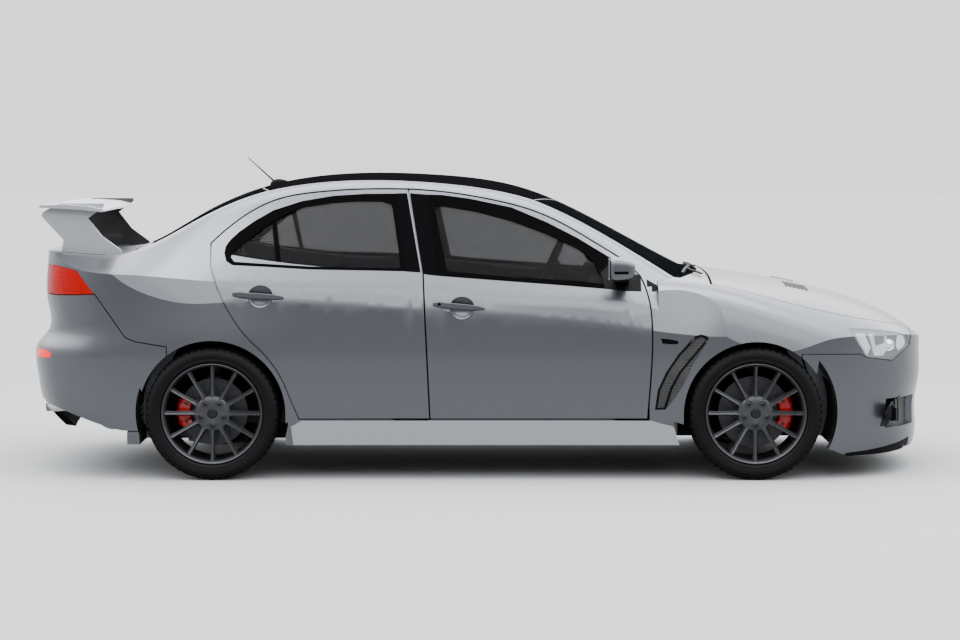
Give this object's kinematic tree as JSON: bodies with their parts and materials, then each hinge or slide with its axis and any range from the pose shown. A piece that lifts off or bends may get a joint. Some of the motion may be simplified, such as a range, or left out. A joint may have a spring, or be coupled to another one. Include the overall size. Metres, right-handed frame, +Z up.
{
  "type": "rally car",
  "caption": "Four-door rally saloon with opening doors, hood, boot lid and fuel flap, steered and rolling wheels, flared arches and a high rear wing.",
  "frame": {"origin": "on the ground under the middle of the car's length and width", "axes": "+X forward, +Y to the car's left, +Z up; the pictured right side faces -Y"},
  "size_m": [4.5451, 2.024, 1.5684],
  "materials": {
    "silver_paint": "metallic",
    "black_paint": "gloss",
    "black_plastic": "matte",
    "window_glass": "tinted",
    "lamp_glass": "clear",
    "red_lamp": "gloss",
    "mesh": "matte",
    "tyre": "matte",
    "rim": "satin",
    "disc": "machined",
    "caliper": "gloss",
    "steel": "satin",
    "engine": "cast",
    "chrome": "polished",
    "trim": "grained",
    "seat_cloth": "woven",
    "leather": "grained",
    "spoiler": "metallic"
  },
  "bodies": {
    "body": {"body_shell": "silver_paint", "roof_panel": "black_paint", "front_bumper": "silver_paint", "rear_bumper": "silver_paint", "diffuser": "black_plastic", "front_fenders": "silver_paint", "side_skirts": "silver_paint", "grille": "mesh", "headlamps": "lamp_glass", "tail_lamps": "red_lamp", "windscreen": "window_glass", "rear_window": "window_glass", "fender_vents": "mesh", "floor_pan": "black_plastic", "engine_block": "engine", "exhaust": "chrome", "suspension_front": "steel", "suspension_rear": "steel", "dashboard": "trim", "front_seats": "seat_cloth", "rear_bench": "seat_cloth", "wipers": "black_plastic", "antenna": "black_plastic", "knuckles_rear": "steel", "calipers_rear": "caliper"},
    "hood": {"hood": "silver_paint", "hood_vents": "mesh"},
    "boot_lid": {"boot_lid": "silver_paint", "rear_wing": "spoiler"},
    "fuel_flap": {"fuel_flap": "silver_paint"},
    "steering_wheel": {"steering_wheel": "leather"},
    "door_front_right": {"door_front_right": "silver_paint", "door_glass_front_right": "window_glass", "mirror_right": "silver_paint"},
    "door_rear_right": {"door_rear_right": "silver_paint", "door_glass_rear_right": "window_glass"},
    "knuckle_right": {"knuckle_front_right": "steel", "caliper_front_right": "caliper"},
    "wheel_front_right": {"tyre_front_right": "tyre", "rim_front_right": "rim", "brake_disc_front_right": "disc"},
    "wheel_rear_right": {"tyre_rear_right": "tyre", "rim_rear_right": "rim", "brake_disc_rear_right": "disc"},
    "door_front_left": {"door_front_left": "silver_paint", "door_glass_front_left": "window_glass", "mirror_left": "silver_paint"},
    "door_rear_left": {"door_rear_left": "silver_paint", "door_glass_rear_left": "window_glass"},
    "knuckle_left": {"knuckle_front_left": "steel", "caliper_front_left": "caliper"},
    "wheel_front_left": {"tyre_front_left": "tyre", "rim_front_left": "rim", "brake_disc_front_left": "disc"},
    "wheel_rear_left": {"tyre_rear_left": "tyre", "rim_rear_left": "rim", "brake_disc_rear_left": "disc"}
  },
  "joints": [
    {"name": "door_front_right_hinge", "type": "hinge", "parent": "body", "child": "door_front_right", "pos_m": [0.7475, -0.858, 0.6], "axis": [0, 0, 1], "range_deg": [0, 65]},
    {"name": "door_rear_right_hinge", "type": "hinge", "parent": "body", "child": "door_rear_right", "pos_m": [-0.3325, -0.858, 0.6], "axis": [0, 0, 1], "range_deg": [0, 65]},
    {"name": "steer_right", "type": "hinge", "parent": "body", "child": "knuckle_right", "pos_m": [1.3475, -0.7005, 0.3265], "axis": [0, 0, 1], "range_deg": [-31, 31]},
    {"name": "wheel_front_right_spin", "type": "hinge", "parent": "knuckle_right", "child": "wheel_front_right", "pos_m": [1.3475, -0.7725, 0.3265], "axis": [0, 1, 0], "continuous": true},
    {"name": "wheel_rear_right_spin", "type": "hinge", "parent": "body", "child": "wheel_rear_right", "pos_m": [-1.3025, -0.7725, 0.3265], "axis": [0, 1, 0], "continuous": true},
    {"name": "door_front_left_hinge", "type": "hinge", "parent": "body", "child": "door_front_left", "pos_m": [0.7475, 0.858, 0.6], "axis": [0, 0, -1], "range_deg": [0, 65]},
    {"name": "door_rear_left_hinge", "type": "hinge", "parent": "body", "child": "door_rear_left", "pos_m": [-0.3325, 0.858, 0.6], "axis": [0, 0, -1], "range_deg": [0, 65]},
    {"name": "steer_left", "type": "hinge", "parent": "body", "child": "knuckle_left", "pos_m": [1.3475, 0.7005, 0.3265], "axis": [0, 0, 1], "range_deg": [-31, 31]},
    {"name": "wheel_front_left_spin", "type": "hinge", "parent": "knuckle_left", "child": "wheel_front_left", "pos_m": [1.3475, 0.7725, 0.3265], "axis": [0, 1, 0], "continuous": true},
    {"name": "wheel_rear_left_spin", "type": "hinge", "parent": "body", "child": "wheel_rear_left", "pos_m": [-1.3025, 0.7725, 0.3265], "axis": [0, 1, 0], "continuous": true},
    {"name": "hood_hinge", "type": "hinge", "parent": "body", "child": "hood", "pos_m": [1.2985, 0, 0.88], "axis": [0, -1, 0], "range_deg": [0, 50]},
    {"name": "boot_lid_hinge", "type": "hinge", "parent": "body", "child": "boot_lid", "pos_m": [-1.8195, 0, 1.08247], "axis": [0, 1, 0], "range_deg": [0, 62]},
    {"name": "steering_wheel_turn", "type": "hinge", "parent": "body", "child": "steering_wheel", "pos_m": [0.3725, 0.37, 0.975], "axis": [-0.9135, 0, 0.4067], "range_deg": [-405, 405]},
    {"name": "fuel_flap_hinge", "type": "hinge", "parent": "body", "child": "fuel_flap", "pos_m": [-1.5265, 0.86615, 0.9315], "axis": [0, 0.1949, -0.9808], "range_deg": [0, 75]}
  ],
  "couplings": [
    {"joint": "steer_left", "follows": "steer_right", "ratio": 1},
    {"joint": "steering_wheel_turn", "follows": "steer_right", "ratio": 13}
  ]
}
